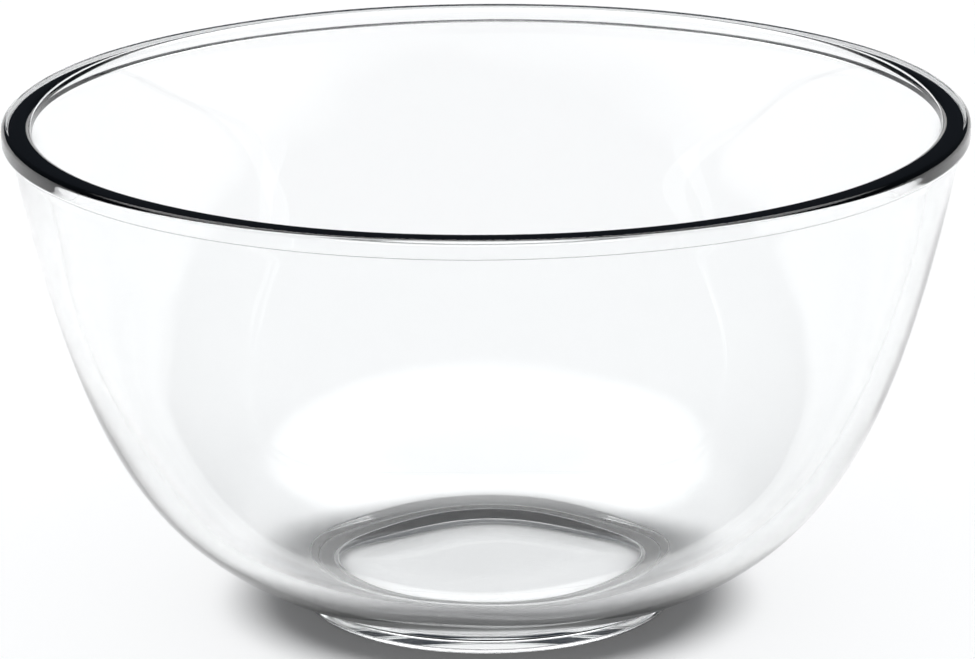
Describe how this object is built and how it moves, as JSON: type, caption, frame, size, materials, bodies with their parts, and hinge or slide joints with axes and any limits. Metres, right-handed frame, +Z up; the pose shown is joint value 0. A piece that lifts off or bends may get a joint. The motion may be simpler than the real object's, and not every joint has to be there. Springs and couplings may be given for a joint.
{
  "type": "glass mixing bowl",
  "caption": "Round pressed clear-glass mixing bowl with deep curved sides, a stout rolled lip round its mouth and a low ring foot.",
  "frame": {"origin": "centre of the foot ring, on the surface the bowl stands on", "axes": "+Z up along the bowl's axis, out of its mouth; X and Y across the mouth, all directions alike"},
  "size_m": [0.24, 0.24, 0.126],
  "materials": {
    "clear_glass": "clear, smooth, fire-polished"
  },
  "bodies": {
    "root": {"bowl": "clear_glass"}
  },
  "joints": []
}
